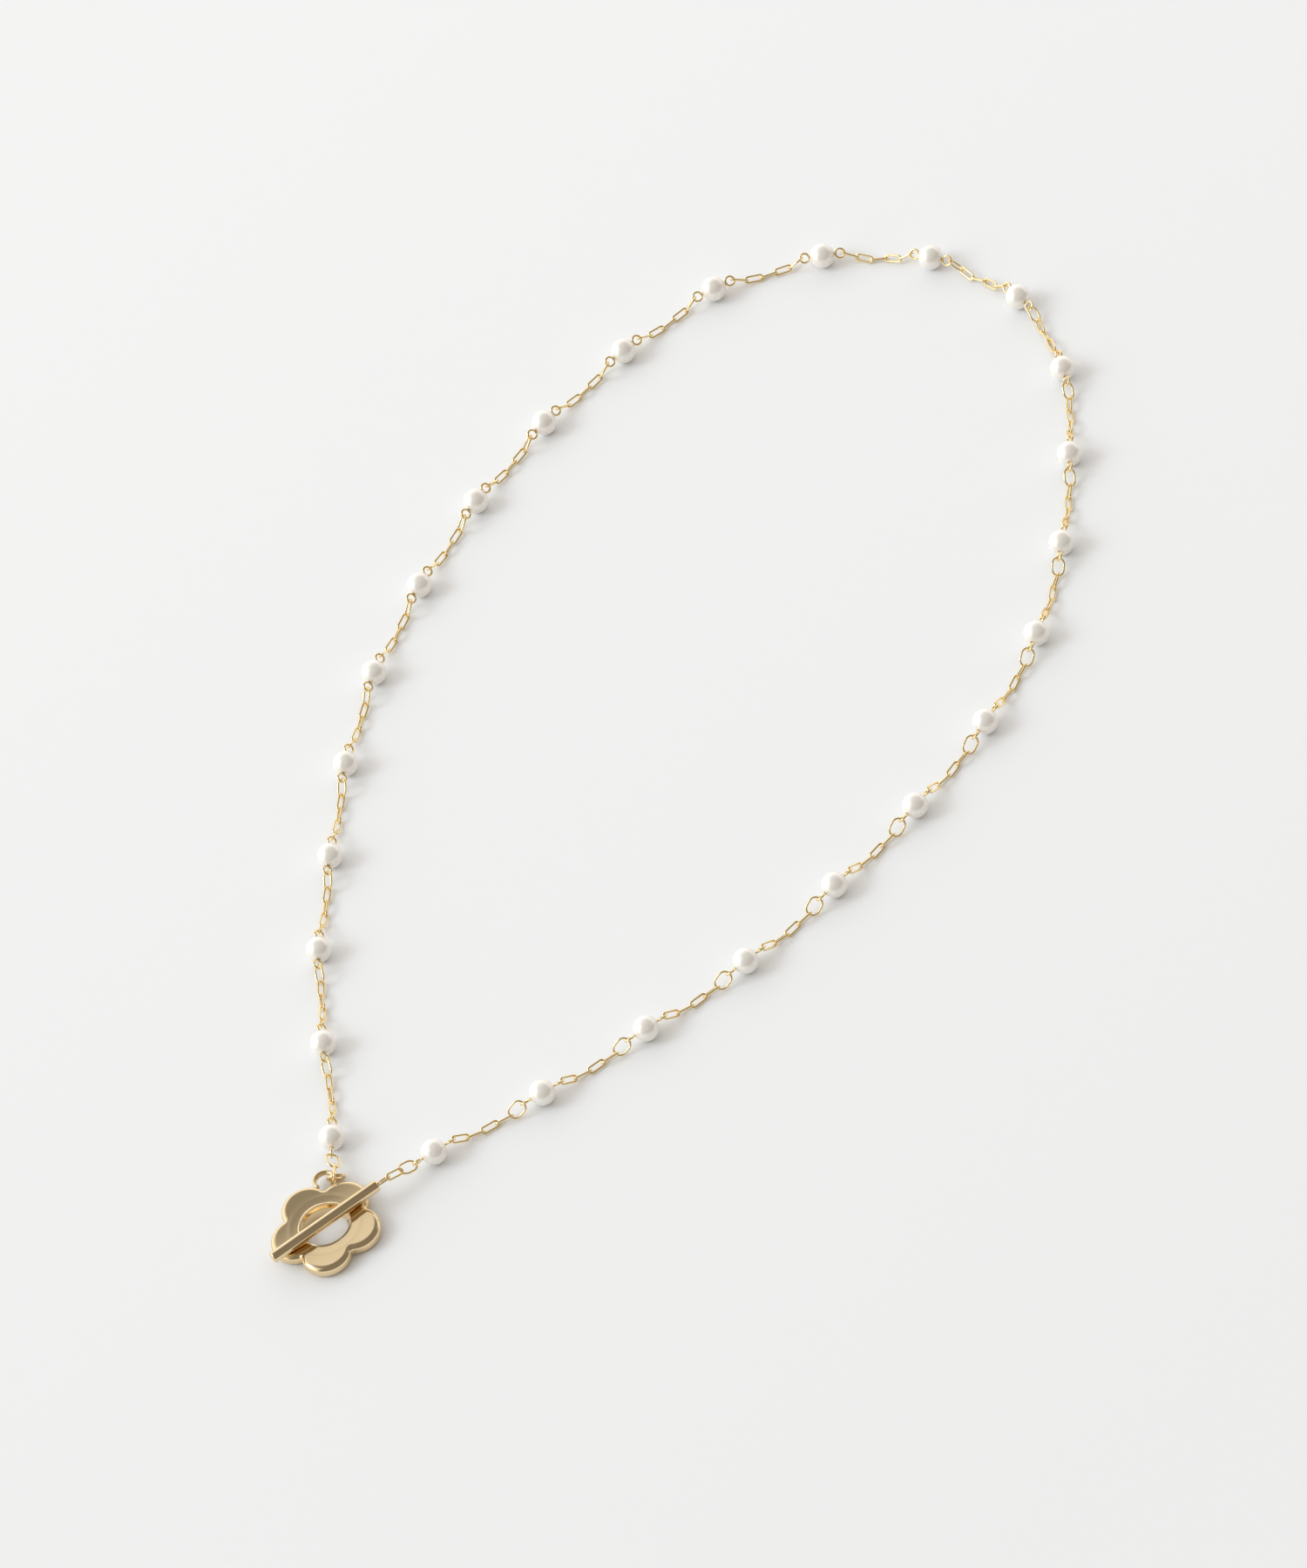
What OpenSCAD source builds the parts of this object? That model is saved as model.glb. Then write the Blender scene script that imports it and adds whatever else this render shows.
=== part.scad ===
// Station necklace: pearls on eye pins joined by short runs of cable chain,
// closed by a flower ring and a toggle bar. It lies open on a flat surface,
// with the bar resting across the face of the flower.
// Millimetres, +Z up, the surface is z = 0 and the origin is under the middle.

/* [Pearls] */
// Diameter of one pearl
pearl_d = 4.0; // [3:0.1:6]
// Hole drilled through each pearl
drill_d = 0.5; // [0.4:0.05:0.8]

/* [Eye pins] */
// Straight wire through the pearl
pin_d = 0.3; // [0.2:0.02:0.4]
// Wire of the eyes
eye_wire_d = 0.36; // [0.3:0.02:0.5]
// Outside diameter of an eye
eye_d = 1.84; // [1.6:0.02:2.1]

/* [Chain] */
// Wire of the links
wire_d = 0.34; // [0.26:0.02:0.44]
// Length that one link adds to the chain
pitch = 2.44; // [2.2:0.02:2.8]
// Play where two wires meet
play = 0.06; // [0.04:0.01:0.08]
// Further play where a wire meets an eye
eye_play = 0.08; // [0.06:0.01:0.12]
// Outside width of a plain link
link_w = 1.3; // [1.2:0.05:1.6]
// Outside width of an oval jump ring
ring_w = 2.35; // [2:0.05:2.6]
// How far the chain drops from a pearl to the surface, as a slope
drop_slope = 28; // [20:1:32]

/* [Toggle bar] */
// Length of the bar
bar_len = 19.2; // [16:0.1:24]
// Diameter of the bar
bar_d = 1.8; // [1.4:0.1:2.4]
// Chamfer at the ends of the bar
bar_chamfer = 0.25; // [0.1:0.05:0.5]

/* [Flower ring] */
// Thickness of the flower
flower_t = 2.2; // [1.6:0.1:3]
// Radius of one petal
petal_r = 3.9; // [3:0.05:5]
// Distance from the middle to the centre of a petal
petal_at = 4.7; // [4:0.05:6]
// Diameter of the hole
hole_d = 7.5; // [6:0.1:8.4]
// Radius to which the notches between the petals are filled
web_r = 7.0; // [6.6:0.1:7.4]
// Rounding of the rim, made as two steps
rim = 0.8; // [0.3:0.1:1]

/* [Flower loop and jump ring] */
// Outside diameter of the loop soldered to the flower
loop_d = 3.7; // [3:0.1:4]
// Wall of that loop
loop_wall = 0.68; // [0.4:0.02:0.8]
// Height of its band
loop_h = 1.0; // [0.8:0.1:1.2]
// Distance from the middle of the flower to the middle of the loop
loop_at = 8.7; // [8.5:0.1:9.2]
// Outside diameter of the round jump ring
jump_d = 3.1; // [2.9:0.1:3.3]
// Wire of the round jump ring
jump_wire_d = 0.54; // [0.5:0.02:0.7]

/* [Hidden] */
$fn = 48;
pearl_r = pearl_d / 2;
eye_r = (eye_d - eye_wire_d) / 2;
eye_x = pearl_r + eye_d / 2;
reach = eye_x + eye_d / 2 - eye_wire_d - eye_play;
petals = 5;
// Height above the face and inset of each layer of the rim, middle layer first.
rim_steps = [[0.5 * rim, 0], [0.15 * rim, 0.15 * rim], [0, 0.5 * rim]];
items = 5;
gold = [0.86, 0.70, 0.40];
nacre = [0.93, 0.91, 0.88];

// The lie of the necklace: the turn at each pearl between the two at its ends.
turns = [6, 2, 9, 4, 6, 10, 14, 8, 6, 20, 30, 27, 24, 26, 8, 8, 8, 6, 10, 7, 1, 9, 3];
pearl_n = len(turns) + 2;
first_heading = 11;
start_heading = 17;
end_heading = 256;
// Runs of chain that lie looser than the rest, and how far their links swing.
loose_runs = [12, 13];
loose_swing = 9;
swing = 3;
// The oval jump ring comes last in the runs before this pearl, and first after it.
middle_pearl = 13;
// Small change of slope where the chain settles on the surface.
settle_slope = 5.5;
slopes = [-drop_slope, -settle_slope, 0, settle_slope, drop_slope];

// Headings and slopes of the pieces at the two ends.
bar_heading = 20.7;
bar_ring_heading = 23;
bar_link_heading = 23;
bar_ring_lean = 6;
bar_link_lean = 62;
bar_loop_lean = -30;
bar_gap = 0.1;
bar_z = flower_t + bar_gap + bar_d / 2;
bar_slope = -asin((bar_z - pearl_r) / (2 * pitch));
bar_loop_w = 1.3;
bar_loop_reach = 1.85;
collar_d = 0.7;
collar_h = 0.3;
end_headings = [272, 258];
end_slopes = [6, 9.5];
end_leans = [-35, 82];
jump_heading = 172;
jump_lean = 65;
flower_heading = 258.5;
loop_z = 1.32;
loop_reach = 0.65;

// Unit vector from a heading and a slope.
function dir(h, s = 0) = [cos(s) * cos(h), cos(s) * sin(h), sin(s)];
function sum(v, n) = n <= 0 ? 0 : v[n - 1] + sum(v, n - 1);
function run_heading(i) = first_heading + sum(turns, i - 1);
function pin_heading(i) =
  i == 1 ? start_heading :
  i == pearl_n ? end_heading :
  (run_heading(i - 1) + run_heading(i)) / 2;
function is_loose(i) = len([for (r = loose_runs) if (r == i) r]) > 0;
function swing_of(i, k) =
  (is_loose(i) ? loose_swing : swing) * (k % 2 == 0 ? 1 : -1)
  * (k == 0 || k == items - 1 ? 0.5 : 1);
function item_vec(i, k) =
  i == pearl_n ? pitch * dir(end_headings[k], end_slopes[k]) :
  pitch * dir(run_heading(i) + swing_of(i, k), slopes[k]);
function run_vec(i, k) = k <= 0 ? [0, 0, 0] : item_vec(i, k - 1) + run_vec(i, k - 1);
function walk(i, p) =
  i == pearl_n ? [p] :
  concat([p], walk(i + 1, p + reach * (dir(pin_heading(i)) + dir(pin_heading(i + 1)))
                         + run_vec(i, items)));
laid = walk(1, [0, 0, pearl_r]);

// Everything is moved so that the box of the whole necklace is centred on the origin.
// The round jump ring stands on the surface, hung by its top in the last link.
last_laid = laid[pearl_n - 1] + reach * dir(end_heading) + run_vec(pearl_n, 2);
jump_up = cos(jump_lean) * dir(jump_heading + 90) + [0, 0, sin(jump_lean)];
jump_laid = last_laid - (jump_wire_d / 2 + play) * dir(end_headings[1], end_slopes[1])
  - (jump_d - jump_wire_d) / 2 * jump_up;
loop_out = loop_reach + loop_d / 2 - loop_wall;
flower_laid = jump_laid + loop_out * dir(jump_heading) + loop_at * dir(flower_heading);
flower_out = petal_at + petal_r;
bar_node_laid = laid[0] - reach * dir(start_heading)
  - pitch * dir(bar_ring_heading, bar_slope) - pitch * dir(bar_link_heading, bar_slope);
bar_tip_laid = bar_node_laid - (bar_loop_reach + bar_len) * dir(bar_heading);
x_low = min(bar_tip_laid[0], flower_laid[0] - flower_out);
x_high = max([for (p = laid) p[0]]) + pearl_r;
y_low = flower_laid[1] - flower_out;
y_high = max([for (p = laid) p[1]]) + pearl_r;
centre = [(x_low + x_high) / 2, (y_low + y_high) / 2, 0];

pearls = [for (p = laid) p - centre];
function node_at(i, k) = pearls[i - 1] + reach * dir(pin_heading(i)) + run_vec(i, k);
bar_node = bar_node_laid - centre;
bar_mid_node = pearls[0] - reach * dir(start_heading)
  - pitch * dir(bar_ring_heading, bar_slope);
jump_at = jump_laid - centre;
loop_pos = jump_at + loop_out * dir(jump_heading);
flower_at = [flower_laid[0] - centre[0], flower_laid[1] - centre[1], 0];

// Each piece is turned a quarter from its neighbours, half over from upright.
function lean(i, k) = 45 * (k % 2 == 0 ? 1 : -1) + 5 * sin(97 * i + 61 * k);
eye_lean = -45;
first_eye_lean = -62;
last_eye_lean = 78;

function has_oval(i, k) = i < middle_pearl ? k == items - 1 : i > middle_pearl && k == 0;
function run_of(i) =
  i <= middle_pearl ? i :
  i == middle_pearl + 1 ? 0 : i - 1;
function named(word, i) = str(word, i < 10 ? "0" : "", i);

// Round wire bent to a circle in the XY plane.
module wire_ring(r, d) {
  rotate_extrude() translate([r, 0]) circle(d = d);
}

// Closed wire link along X: two straight sides and two half circles.
module link(width, inside, d) {
  r = (width - d) / 2;
  s = (inside + d) / 2 - r;
  for (side = [-1, 1]) {
    translate([side * s, 0, 0])
      rotate([0, 0, -90 * side])
        rotate_extrude(angle = 180) translate([r, 0]) circle(d = d);
    translate([-s, side * r, 0]) rotate([0, 90, 0]) cylinder(d = d, h = 2 * s);
  }
}

// Lays a child built along X between two points, rolled about its length.
module between(p, q, roll) {
  v = q - p;
  translate((p + q) / 2)
    rotate([0, -atan2(v[2], norm([v[0], v[1]])), atan2(v[1], v[0])])
      rotate([roll, 0, 0])
        children();
}

module pearl(i) {
  color(nacre)
    translate(pearls[i - 1])
      rotate([0, 90, pin_heading(i)])
        rotate_extrude()
          intersection() {
            circle(r = pearl_r);
            translate([drill_d / 2, -pearl_r]) square([pearl_r, pearl_d]);
          }
}

module eye_pin(i) {
  straight = eye_x - eye_r;
  translate(pearls[i - 1]) rotate([0, 0, pin_heading(i)]) {
    rotate([0, 90, 0]) cylinder(d = pin_d, h = 2 * straight, center = true);
    translate([-eye_x, 0, 0])
      rotate([i == 1 ? first_eye_lean : eye_lean, 0, 0])
        wire_ring(eye_r, eye_wire_d);
    translate([eye_x, 0, 0])
      rotate([i == pearl_n ? last_eye_lean : eye_lean, 0, 0])
        wire_ring(eye_r, eye_wire_d);
  }
}

// The pin of one pearl and the run of chain on the side of it nearer the middle.
module chain(i) {
  run = run_of(i);
  color(gold) {
    eye_pin(i);
    if (run > 0)
      for (k = [0 : items - 1])
        between(node_at(run, k), node_at(run, k + 1), lean(run, k))
          link(has_oval(run, k) ? ring_w : link_w, pitch + play, wire_d);
  }
}

// Oval jump ring and one plain link after the last pearl.
module end_chain() {
  color(gold)
    for (k = [0, 1])
      between(node_at(pearl_n, k), node_at(pearl_n, k + 1), end_leans[k])
        link(k == 0 ? ring_w : link_w, pitch + play, wire_d);
}

// Oval jump ring and one plain link between the first pearl and the bar.
module bar_chain() {
  color(gold) {
    between(bar_mid_node, pearls[0] - reach * dir(start_heading), bar_ring_lean)
      link(ring_w, pitch + play, wire_d);
    between(bar_node, bar_mid_node, bar_link_lean) link(link_w, pitch + play, wire_d);
  }
}

module at_bar_end() {
  translate(bar_node - bar_loop_reach * dir(bar_heading))
    rotate([0, 0, bar_heading])
      children();
}

module toggle_bar() {
  r = bar_d / 2;
  c = bar_chamfer;
  color(gold)
    at_bar_end()
      rotate([0, -90, 0])
        rotate_extrude()
          polygon([[0, 0], [r - 2 * c, 0], [r - c / 2, c / 2], [r, 2 * c],
                   [r, bar_len - 2 * c], [r - c / 2, bar_len - c / 2],
                   [r - 2 * c, bar_len], [0, bar_len]]);
}

// Eye on the end of the bar, with a short collar that meets the bar's end face.
module bar_end_loop() {
  base = eye_wire_d + 0.04;
  inside = bar_loop_reach - base + eye_play;
  color(gold)
    at_bar_end() {
      rotate([0, 90, 0]) cylinder(d = collar_d, h = collar_h);
      translate([base + inside / 2, 0, 0])
        rotate([bar_loop_lean, 0, 0])
          link(bar_loop_w, inside, eye_wire_d);
    }
}

// Outline of the flower, drawn in by an inset.
module petals_outline(inset) {
  for (n = [0 : petals - 1])
    rotate((n + 0.5) * 360 / petals) translate([petal_at, 0]) circle(r = petal_r - inset);
  circle(r = web_r - inset);
}

// Turned so that a notch, and the loop in it, point at +X.
module at_flower() {
  translate(flower_at) rotate([0, 0, flower_heading - 180]) children();
}

// Built in layers that step in towards both faces, at the rim and at the hole.
module flower_ring() {
  color(gold)
    at_flower()
      for (k = [0 : len(rim_steps) - 1]) {
        low = rim_steps[k][0];
        high = k == 0 ? flower_t - low : rim_steps[k - 1][0];
        for (z = k == 0 ? [[low, high]] : [[low, high], [flower_t - high, flower_t - low]])
          translate([0, 0, z[0]])
            linear_extrude(z[1] - z[0])
              difference() {
                petals_outline(rim_steps[k][1]);
                circle(d = hole_d + 2 * rim_steps[k][1]);
              }
      }
}

module flower_loop() {
  outer = loop_d / 2;
  inner = outer - loop_wall;
  b = loop_wall * 0.3;
  h = loop_h / 2;
  color(gold)
    difference() {
      translate([loop_pos[0], loop_pos[1], loop_z])
        rotate_extrude()
          polygon([[inner, -h + b], [inner + b, -h], [outer - b, -h], [outer, -h + b],
                   [outer, h - b], [outer - b, h], [inner + b, h], [inner, h - b]]);
      at_flower() linear_extrude(flower_t) petals_outline(0);
    }
}

module flower_jump_ring() {
  color(gold)
    translate(jump_at)
      rotate([0, 0, jump_heading])
        rotate([jump_lean, 0, 0])
          wire_ring((jump_d - jump_wire_d) / 2, jump_wire_d);
}

for (i = [1 : pearl_n]) {
  pearl(i);
  chain(i);
}
bar_chain();
toggle_bar();
bar_end_loop();
end_chain();
flower_ring();
flower_loop();
flower_jump_ring();
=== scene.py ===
import bmesh
import bpy
import math
import random
from mathutils import Matrix, Vector


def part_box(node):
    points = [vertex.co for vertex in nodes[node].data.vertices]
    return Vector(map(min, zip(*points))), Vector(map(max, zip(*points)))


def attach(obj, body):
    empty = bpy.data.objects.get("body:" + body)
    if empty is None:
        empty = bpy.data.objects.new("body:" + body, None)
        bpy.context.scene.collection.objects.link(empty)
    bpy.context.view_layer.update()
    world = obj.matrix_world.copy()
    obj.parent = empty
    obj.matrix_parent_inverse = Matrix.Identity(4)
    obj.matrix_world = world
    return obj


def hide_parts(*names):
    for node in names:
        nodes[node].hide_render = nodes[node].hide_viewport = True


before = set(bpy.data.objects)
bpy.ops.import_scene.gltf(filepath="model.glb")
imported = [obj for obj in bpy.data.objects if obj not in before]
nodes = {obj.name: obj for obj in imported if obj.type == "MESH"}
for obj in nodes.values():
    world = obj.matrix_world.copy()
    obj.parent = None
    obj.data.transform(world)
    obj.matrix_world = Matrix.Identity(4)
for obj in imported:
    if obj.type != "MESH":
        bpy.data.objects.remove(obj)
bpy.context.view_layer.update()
MM = 0.001  # lengths below are in mm, and the scene is in metres
PEARLS = 25

# ---------------------------------------------------------------- mesh helpers


def make(name, verts, faces, mat, angle=40):
    """Adds a smooth mesh whose edges stay sharp past an angle in degrees, or all smooth for 0."""
    mesh = bpy.data.meshes.new(name)
    mesh.from_pydata(verts, [], faces)
    bm = bmesh.new()
    bm.from_mesh(mesh)
    bmesh.ops.recalc_face_normals(bm, faces=bm.faces)
    bm.to_mesh(mesh)
    bm.free()
    mesh.materials.append(mat)
    for p in mesh.polygons:
        p.use_smooth = True
    mesh.update()
    obj = bpy.data.objects.new(name, mesh)
    bpy.context.scene.collection.objects.link(obj)
    if angle:
        mesh.set_sharp_from_angle(angle=math.radians(angle))
    return obj


def grid_faces(rows, cols, wrap_rows=False):
    """Quads between rings of points; each ring is closed."""
    faces = []
    for r in range(rows if wrap_rows else rows - 1):
        for c in range(cols):
            a, b = r * cols + c, r * cols + (c + 1) % cols
            d = ((r + 1) % rows) * cols
            faces.append((a, b, d + (c + 1) % cols, d + c))
    return faces


def revolve(profile, n):
    """Turns a profile of (along, radius) round the X axis and closes both its ends."""
    verts = []
    for x, r in profile:
        for k in range(n):
            t = 2 * math.pi * k / n
            verts.append((x, r * math.cos(t), r * math.sin(t)))
    faces = grid_faces(len(profile), n)
    faces.append(tuple(range(n)))
    last = (len(profile) - 1) * n
    faces.append(tuple(last + k for k in reversed(range(n))))
    return verts, faces


def place(verts, centre, heading, lean=0.0):
    """Leans points in mm about X, turns them about Z, and moves them to a centre in metres."""
    m = (Matrix.Translation(centre) @ Matrix.Rotation(math.radians(heading), 4, "Z")
         @ Matrix.Rotation(math.radians(lean), 4, "X"))
    return [tuple(m @ (Vector(v) * MM)) for v in verts]


def box_mid(node):
    """Middle of a CAD node's box."""
    lo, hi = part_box(node)
    return (Vector(lo) + Vector(hi)) / 2


# ---------------------------------------------------------------- materials


def material(name):
    mat = bpy.data.materials.new(name)
    mat.use_nodes = True
    nt = mat.node_tree
    bsdf = nt.nodes["Principled BSDF"]
    coord = nt.nodes.new("ShaderNodeTexCoord")
    return mat, nt, bsdf, coord


def noise(nt, coord, scale, detail=4.0, rough=0.5):
    n = nt.nodes.new("ShaderNodeTexNoise")
    n.inputs["Scale"].default_value = scale
    n.inputs["Detail"].default_value = detail
    n.inputs["Roughness"].default_value = rough
    nt.links.new(coord.outputs["Object"], n.inputs["Vector"])
    return n


def spread(nt, source, low, high):
    """Maps a noise to the range from low to high."""
    m = nt.nodes.new("ShaderNodeMapRange")
    m.inputs["From Min"].default_value = 0.3
    m.inputs["From Max"].default_value = 0.7
    m.inputs["To Min"].default_value = low
    m.inputs["To Max"].default_value = high
    nt.links.new(source.outputs["Fac"], m.inputs["Value"])
    return m


def tint(nt, value, stops):
    """A colour ramp with stops of (position, colour), driven by a value."""
    ramp = nt.nodes.new("ShaderNodeValToRGB")
    els = ramp.color_ramp.elements
    els[0].position, els[0].color = stops[0][0], (*stops[0][1], 1)
    els[1].position, els[1].color = stops[-1][0], (*stops[-1][1], 1)
    for pos, col in stops[1:-1]:
        els.new(pos).color = (*col, 1)
    nt.links.new(value, ramp.inputs["Fac"])
    return ramp


def bump(nt, bsdf, source, strength, distance):
    b = nt.nodes.new("ShaderNodeBump")
    b.inputs["Strength"].default_value = strength
    b.inputs["Distance"].default_value = distance
    nt.links.new(source.outputs["Fac"], b.inputs["Height"])
    nt.links.new(b.outputs["Normal"], bsdf.inputs["Normal"])


RELIEF = 0.00002


def gold(name, pale, deep, rough, relief):
    """Plated metal: two close colours, a range of roughness, and fine dents."""
    mat, nt, bsdf, coord = material(name)
    bsdf.inputs["Metallic"].default_value = 1.0
    broad = noise(nt, coord, 260.0, 3.0)
    ramp = tint(nt, broad.outputs["Fac"], [(0.3, deep), (0.7, pale)])
    nt.links.new(ramp.outputs["Color"], bsdf.inputs["Base Color"])
    fine = noise(nt, coord, 2600.0, 5.0, 0.6)
    nt.links.new(spread(nt, fine, *rough).outputs["Result"], bsdf.inputs["Roughness"])
    bump(nt, bsdf, noise(nt, coord, 1500.0, 3.0), relief, RELIEF)
    return mat


def nacre():
    mat, nt, bsdf, coord = material("pearl_nacre")
    broad = noise(nt, coord, 300.0, 2.0)
    ramp = tint(nt, broad.outputs["Fac"], [
        (0.30, (0.95, 0.89, 0.83)), (0.45, (0.97, 0.93, 0.88)),
        (0.58, (0.95, 0.925, 0.86)), (0.72, (0.97, 0.90, 0.84))])
    nt.links.new(ramp.outputs["Color"], bsdf.inputs["Base Color"])
    fine = noise(nt, coord, 2500.0, 4.0, 0.6)
    nt.links.new(spread(nt, fine, 0.20, 0.26).outputs["Result"], bsdf.inputs["Roughness"])
    bsdf.inputs["Metallic"].default_value = 0.22
    bsdf.inputs["IOR"].default_value = 1.6
    bsdf.inputs["Coat Weight"].default_value = 0.5
    bsdf.inputs["Coat Roughness"].default_value = 0.08
    bump(nt, bsdf, noise(nt, coord, 700.0, 2.0), 0.06, RELIEF)
    return mat


PEARL = nacre()
CHAIN = gold("chain_gold", (0.98, 0.81, 0.47), (0.95, 0.73, 0.38), (0.13, 0.22), 0.15)
CLASP = gold("clasp_gold", (0.87, 0.69, 0.43), (0.845, 0.66, 0.40), (0.06, 0.10), 0.03)

for name, obj in nodes.items():
    mat = CLASP if name.startswith(("flower", "toggle", "bar_end")) else CHAIN
    if name.startswith("pearl"):
        mat = PEARL
    obj.data.materials.clear()
    obj.data.materials.append(mat)
    for p in obj.data.polygons:
        p.use_smooth = True
    obj.data.set_sharp_from_angle(angle=math.radians(35))

# ---------------------------------------------------------------- pearls

PEARL_R = 2.0
DRILL_R = 0.25
LIP = 0.06
MOUTH, DEPTH = 0.955, 0.86  # where the hole's wall starts and stops, as parts of the radius
UNEVEN = 0.015
PEARL_STEPS, PEARL_SIDES = 56, 64


def pearl_mesh(seed):
    """A nearly round pearl about X, with a softly rounded mouth at each end of its hole."""
    rng = random.Random(seed)
    a, b, c = (rng.uniform(-UNEVEN, UNEVEN) for _ in range(3))
    phase = rng.uniform(0, 6.28)
    start = math.asin((DRILL_R + LIP) / PEARL_R)
    profile = [(-PEARL_R * DEPTH, DRILL_R), (-PEARL_R * MOUTH, DRILL_R)]
    for k in range(PEARL_STEPS + 1):
        t = start + (math.pi - 2 * start) * k / PEARL_STEPS
        profile.append((-PEARL_R * math.cos(t), PEARL_R * math.sin(t)))
    profile += [(PEARL_R * MOUTH, DRILL_R), (PEARL_R * DEPTH, DRILL_R)]
    verts, faces = revolve(profile, PEARL_SIDES)
    out = []
    for x, y, z in verts:
        t = math.atan2(z, y)
        u = x / PEARL_R
        longer = 0.5 * a * u ** 2
        oval = 0.5 * b * math.cos(2 * t + phase) * (1 - u ** 2)
        egg = 0.4 * c * u
        k = min(1 + longer + oval + egg, 1.0)
        out.append((x * k, y * k, z * k))
    return out, faces


mids = [box_mid("pearl_%02d" % i) for i in range(1, PEARLS + 1)]
START_HEADING, END_HEADING = 17.0, 256.0  # of the holes of the first and the last pearl
for i in range(1, PEARLS + 1):
    if i == 1:
        heading = START_HEADING
    elif i == PEARLS:
        heading = END_HEADING
    else:
        d = mids[i] - mids[i - 2]
        heading = math.degrees(math.atan2(d.y, d.x))
    v, f = pearl_mesh(i)
    o = make("nacre_pearl_%02d" % i, place(v, mids[i - 1], heading), f, PEARL)
    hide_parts("pearl_%02d" % i)
    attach(o, "station_%02d" % i)

# ---------------------------------------------------------------- toggle bar

BAR_LEN, BAR_R, BAR_HEADING = 19.2, 0.9, 20.7
CORNER, CORNER_STEPS, BAR_SIDES = 0.3, 8, 96
prof = [(-BAR_LEN / 2, BAR_R - CORNER)] + [
    (-BAR_LEN / 2 + CORNER * (1 - math.cos(math.pi / 2 * k / CORNER_STEPS)),
     BAR_R - CORNER * (1 - math.sin(math.pi / 2 * k / CORNER_STEPS)))
    for k in range(1, CORNER_STEPS + 1)]
prof = (prof + [(-BAR_LEN / 4, BAR_R), (BAR_LEN / 4, BAR_R)]
        + [(-x, r) for x, r in reversed(prof)])
v, f = revolve(prof, BAR_SIDES)
o = make("rounded_toggle_bar", place(v, box_mid("toggle_bar"), BAR_HEADING), f, CLASP, 60)
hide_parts("toggle_bar")
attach(o, "toggle")

# ---------------------------------------------------------------- flower ring

PETALS, PETAL_AT, PETAL_R, HOLE_R, THICK = 5, 4.70, 3.90, 3.75, 2.2
NOTCH_AT = 78.5  # heading of the notch that holds the loop
ROUND = 0.86  # rolled outer edge
FILLET = 0.32  # rounding at the bottom of each notch
FILLET_STEPS, PETAL_STEPS = 12, 48
DISH = 0.24  # how far the middle of the face is sunk
SWELL, SWELL_AT, SWELL_WIDTH = 0.008, 5.3, 0.4


def flower_centre():
    """Where the flower's middle is, from the box of the CAD ring."""
    xs, ys = [], []
    for n in range(PETALS):
        t = math.radians(NOTCH_AT + (n + 0.5) * 360 / PETALS)
        xs += [PETAL_AT * math.cos(t) - PETAL_R, PETAL_AT * math.cos(t) + PETAL_R]
        ys += [PETAL_AT * math.sin(t) - PETAL_R, PETAL_AT * math.sin(t) + PETAL_R]
    mid = box_mid("flower_ring")
    return Vector((mid.x - (min(xs) + max(xs)) / 2 * MM,
                   mid.y - (min(ys) + max(ys)) / 2 * MM, 0))


def outline():
    """Points and outward normals round the flower: petal arcs joined by small fillets."""
    half = math.pi / PETALS
    # a fillet circle outside both petals, on the line through the notch
    reach = PETAL_R + FILLET
    cx = PETAL_AT * math.cos(half) + math.sqrt(reach ** 2 - (PETAL_AT * math.sin(half)) ** 2)
    beta = math.atan2(PETAL_AT * math.sin(half), cx - PETAL_AT * math.cos(half))
    pts = []
    for n in range(PETALS):
        mid = math.radians(NOTCH_AT) + n * 2 * half
        # the notch fillet
        for k in range(FILLET_STEPS + 1):
            d = mid + math.pi + beta - 2 * beta * k / FILLET_STEPS
            pts.append((cx * math.cos(mid) + FILLET * math.cos(d),
                        cx * math.sin(mid) + FILLET * math.sin(d),
                        -math.cos(d), -math.sin(d)))
        # the petal after it
        pm = mid + half
        span = half + beta
        for k in range(1, PETAL_STEPS):
            t = pm - span + 2 * span * k / PETAL_STEPS
            pts.append((PETAL_AT * math.cos(pm) + PETAL_R * math.cos(t),
                        PETAL_AT * math.sin(pm) + PETAL_R * math.sin(t),
                        math.cos(t), math.sin(t)))
    return pts


pts = outline()
N = len(pts)
centre = flower_centre()
rings = []


def dish(x, y):
    """Height of the face against its rim: sunk towards the hole, with a faint ring on it."""
    r = math.hypot(x, y)
    swell = SWELL * math.exp(-((r - SWELL_AT) / SWELL_WIDTH) ** 2)
    return swell - DISH * (1 - min((r / (PETAL_AT + PETAL_R)) ** 2, 1.0))


def outer_ring(inset, z, k=1.0):
    """Points inside the outline by an inset; k is how much of the dish they take."""
    out = []
    for x, y, nx, ny in pts:
        px, py = x - nx * inset, y - ny * inset
        out.append((px, py, z + k * dish(px, py)))
    return out


def hole_ring(grow, z, k=1.0):
    """The same number of points round the hole, at HOLE_R + grow."""
    out = []
    for x, y, nx, ny in pts:
        t = math.atan2(y, x)
        px, py = (HOLE_R + grow) * math.cos(t), (HOLE_R + grow) * math.sin(t)
        out.append((px, py, z + k * dish(px, py)))
    return out


STEPS = 10
for k in range(STEPS + 1):
    t = math.pi / 2 * k / STEPS
    rings.append(outer_ring(ROUND * (1 - math.sin(t)), ROUND * (1 - math.cos(t)), 0.0))
for k in range(STEPS, -1, -1):
    t = math.pi / 2 * k / STEPS
    rings.append(outer_ring(ROUND * (1 - math.sin(t)), THICK - ROUND * (1 - math.cos(t)),
                            1.0 - k / STEPS))
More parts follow.
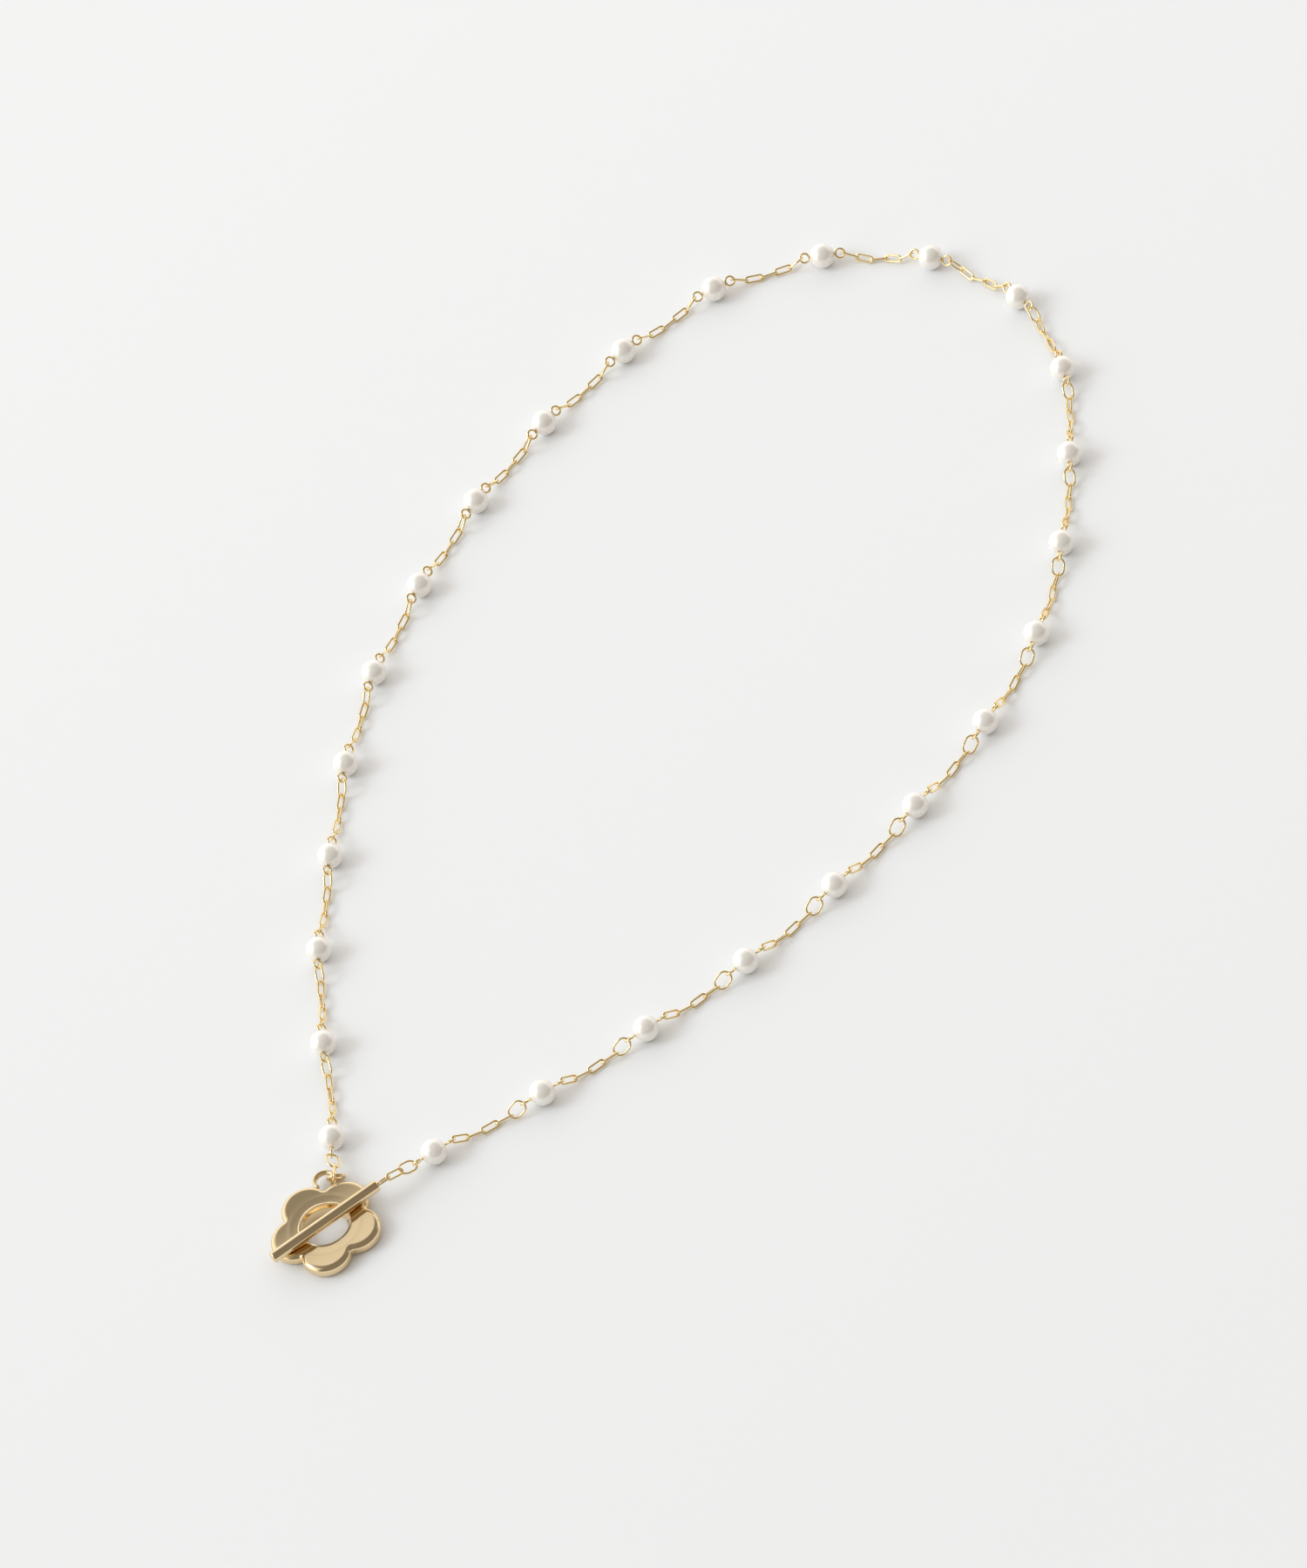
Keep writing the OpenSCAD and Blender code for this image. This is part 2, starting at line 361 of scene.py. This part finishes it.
# the hole, from the face down: a rounded edge, a tapered wall, a ledge and a tapered throat
EDGE, SEAT, SEAT_LOW, THROAT, THROAT_LOW = 0.07, 0.14, -0.12, -0.18, -0.60
LEDGE_Z, LEDGE_EDGE, BACK_EDGE = 1.3, 0.06, 0.20
FACE_STEPS, WALL_STEPS, QUARTER_STEPS = 16, 6, 6
top_out = outer_ring(ROUND, THICK)
top_in = hole_ring(SEAT + EDGE, THICK)
for k in range(1, FACE_STEPS):
    w = k / FACE_STEPS
    row = []
    for a, b in zip(top_out, top_in):
        x, y = a[0] + (b[0] - a[0]) * w, a[1] + (b[1] - a[1]) * w
        row.append((x, y, THICK + dish(x, y)))
    rings.append(row)


def quarter(grow, z, radius, top, low_k, high_k):
    """A rounded edge of the hole, between a flat face and the wall at HOLE_R + grow."""
    for k in range(QUARTER_STEPS + 1):
        t = math.pi / 2 * (k if top else QUARTER_STEPS - k) / QUARTER_STEPS
        drop = radius * (1 - math.cos(t))
        w = high_k + (low_k - high_k) * k / QUARTER_STEPS
        rings.append(hole_ring(grow + radius * (1 - math.sin(t)), z - drop if top else z + drop, w))


quarter(SEAT, THICK, EDGE, True, 0.0, 1.0)
for k in range(1, WALL_STEPS + 1):
    w = k / WALL_STEPS
    rings.append(hole_ring(SEAT + (SEAT_LOW - SEAT) * w,
                           THICK - EDGE + (LEDGE_Z - THICK + EDGE) * w, 1.0 - w))
quarter(THROAT, LEDGE_Z, LEDGE_EDGE, True, 0.0, 0.0)
quarter(THROAT_LOW, 0.0, BACK_EDGE, False, 0.0, 0.0)
verts = [p for ring in rings for p in ring]
faces = grid_faces(len(rings), N, wrap_rows=True)
verts = [tuple(centre + Vector(p) * MM) for p in verts]
o = make("domed_flower_ring", verts, faces, CLASP, 60)
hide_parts("flower_ring")
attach(o, "flower")

# ---------------------------------------------------------------- loop and jump ring

LOOP_R, LOOP_WALL, LOOP_H, LOOP_AT, LOOP_TURN = 1.85, 0.68, 1.0, 8.7, 270
JUMP_HEADING, JUMP_LEAN, JUMP_R, JUMP_WIRE = 172.0, 65.0, 1.28, 0.54
CUT_AT, CUT = 60, 4  # where the jump ring is cut, and how wide, in degrees
LOOP_STEPS, RING_STEPS, SECTION_STEPS = 96, 120, 28


def bent_section(section, start, turn, steps, radius):
    """Sweeps a closed section of (out, up) points round part of a circle in the XY plane."""
    verts = []
    for k in range(steps + 1):
        t = math.radians(start + turn * k / steps)
        for out, high in section:
            verts.append(((radius + out) * math.cos(t), (radius + out) * math.sin(t), high))
    n = len(section)
    faces = grid_faces(steps + 1, n)
    faces += [tuple(range(n)), tuple(steps * n + k for k in reversed(range(n)))]
    return verts, faces


def soft_section(width, height, power):
    """A rounded rectangle drawn as a superellipse."""
    out = []
    for k in range(SECTION_STEPS):
        t = 2 * math.pi * k / SECTION_STEPS
        c, s = math.cos(t), math.sin(t)
        out.append((math.copysign(abs(c) ** (2 / power), c) * width / 2,
                    math.copysign(abs(s) ** (2 / power), s) * height / 2))
    return out


# the band of the loop sinks into the notch of the flower at both its ends
loop_lo, loop_hi = (Vector(v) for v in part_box("flower_loop"))
v, f = bent_section(soft_section(LOOP_WALL, LOOP_H, 2.3), NOTCH_AT - LOOP_TURN / 2,
                    LOOP_TURN, LOOP_STEPS, LOOP_R - LOOP_WALL / 2)
out = Vector((math.cos(math.radians(NOTCH_AT)), math.sin(math.radians(NOTCH_AT)), 0))
loop_mid = centre + out * LOOP_AT * MM + Vector((0, 0, (loop_lo.z + loop_hi.z) / 2))
o = make("soldered_loop", place(v, loop_mid, 0), f, CLASP, 60)
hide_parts("flower_loop")
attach(o, "flower")

# the jump ring is a cut ring: its two ends meet with a hairline gap
round_wire = soft_section(JUMP_WIRE, JUMP_WIRE, 2)
v, f = bent_section(round_wire, CUT_AT + CUT / 2, 360 - CUT, RING_STEPS, JUMP_R)
v = place(v, box_mid("flower_jump_ring"), JUMP_HEADING, JUMP_LEAN)
o = make("cut_jump_ring", v, f, CLASP, 50)
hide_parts("flower_jump_ring")
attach(o, "jump_ring")

# ---------------------------------------------------------------- floor, light, camera

floor_mat, nt, bsdf, coord = material("pale_floor")
# painted light falloff: the floor's colour is made lighter at the far left and darker at the near
# right, standing in for light that fades across the floor
across = nt.nodes.new("ShaderNodeVectorMath")
across.operation = "DOT_PRODUCT"
across.inputs[1].default_value = (-0.55, 0.83, 0)
nt.links.new(coord.outputs["Object"], across.inputs[0])
painted_falloff = nt.nodes.new("ShaderNodeMapRange")
painted_falloff.inputs["From Min"].default_value = -0.15
painted_falloff.inputs["From Max"].default_value = 0.15
nt.links.new(across.outputs["Value"], painted_falloff.inputs["Value"])
# the two floor colours are the painted light falloff, darker at the near right
ramp = tint(nt, painted_falloff.outputs["Result"], [(0, (0.786, 0.797, 0.815)), (1, (0.834, 0.847, 0.865))])
nt.links.new(ramp.outputs["Color"], bsdf.inputs["Base Color"])
matt = spread(nt, noise(nt, coord, 3.0, 2.0), 0.86, 0.94)
nt.links.new(matt.outputs["Result"], bsdf.inputs["Roughness"])
bsdf.inputs["Specular IOR Level"].default_value = 0.1
bump(nt, bsdf, noise(nt, coord, 400.0, 3.0), 0.05, 0.0001)
S = 3.0  # half the floor's width, in metres
corners = [(-S, -S, 0), (S, -S, 0), (S, S, 0), (-S, S, 0)]
floor = make("floor", corners, [(0, 1, 2, 3)], floor_mat, 0)

world = bpy.data.worlds.new("studio")
bpy.context.scene.world = world
world.use_nodes = True
wt = world.node_tree
bg = wt.nodes["Background"]
wc = wt.nodes.new("ShaderNodeTexCoord")


def toward(direction, stops):
    """Brightness of the room against how far a direction leans towards another."""
    dot = wt.nodes.new("ShaderNodeVectorMath")
    dot.operation = "DOT_PRODUCT"
    dot.inputs[1].default_value = Vector(direction).normalized()
    wt.links.new(wc.outputs["Generated"], dot.inputs[0])
    return tint(wt, dot.outputs["Value"], stops)


# bright walls that fade into a dim ceiling, and a dark side where the camera stands
ceiling = toward((0.30, 0.0, 0.95), [
    (0.15, (1.45, 1.42, 1.37)), (0.62, (0.92, 0.90, 0.87)), (0.69, (0.82, 0.80, 0.77)),
    (0.745, (0.34, 0.325, 0.305)), (0.97, (0.22, 0.21, 0.20))])
behind = toward((0.36, -0.92, 0.15), [(0.10, (0.0, 0.0, 0.0)), (0.40, (1.0, 1.0, 1.0))])
mix = wt.nodes.new("ShaderNodeMix")
mix.data_type = "RGBA"
mix.inputs["B"].default_value = (0.262, 0.238, 0.205, 1)
wt.links.new(behind.outputs["Color"], mix.inputs["Factor"])
wt.links.new(ceiling.outputs["Color"], mix.inputs["A"])
wt.links.new(mix.outputs["Result"], bg.inputs["Color"])
bg.inputs["Strength"].default_value = 1.0


def window(name, heading, elevation, width, power, colour):
    """A wide soft source far away, given by where it stands and its width in degrees."""
    light = bpy.data.lights.new(name, "SUN")
    light.angle = math.radians(width)
    light.energy = power
    light.color = colour
    obj = bpy.data.objects.new(name, light)
    h, e = math.radians(heading), math.radians(elevation)
    d = Vector((math.cos(e) * math.cos(h), math.cos(e) * math.sin(h), math.sin(e)))
    obj.location = d
    obj.rotation_euler = d.to_track_quat("Z", "Y").to_euler()
    bpy.context.scene.collection.objects.link(obj)
    return obj


window("key_left", 172, 37, 27, 0.90, (0.74, 0.89, 1.0))
# an even overhead wash that lifts the shadows and shows in no reflection
wash = window("overhead_wash", 100, 80, 120, 1.26, (1.0, 0.955, 0.905))
wash.visible_glossy = False

# camera: 48 degrees above the floor, rolled, long lens
ELEVATION, ROLL = math.radians(48), math.radians(-19)
LENS, SENSOR, DISTANCE = 220.8, 36.0, 1226.67  # in mm
AIM = Vector((-4.17, -12.72, 0)) * MM
look = Vector((0, math.cos(ELEVATION), -math.sin(ELEVATION)))
upward = Vector((0, math.sin(ELEVATION), math.cos(ELEVATION)))
side = Vector((1, 0, 0))
right = math.cos(ROLL) * side + math.sin(ROLL) * upward
up = -math.sin(ROLL) * side + math.cos(ROLL) * upward
cam_data = bpy.data.cameras.new("camera")
cam_data.sensor_fit = "HORIZONTAL"
cam_data.sensor_width = SENSOR
cam_data.lens = LENS
cam_data.clip_start = 0.01
cam = bpy.data.objects.new("camera", cam_data)
m = Matrix((right, up, -look)).transposed().to_4x4()
m.translation = AIM - look * DISTANCE * MM
cam.matrix_world = m
bpy.context.scene.collection.objects.link(cam)
bpy.context.scene.camera = cam
bpy.context.scene.view_settings.view_transform = "Standard"
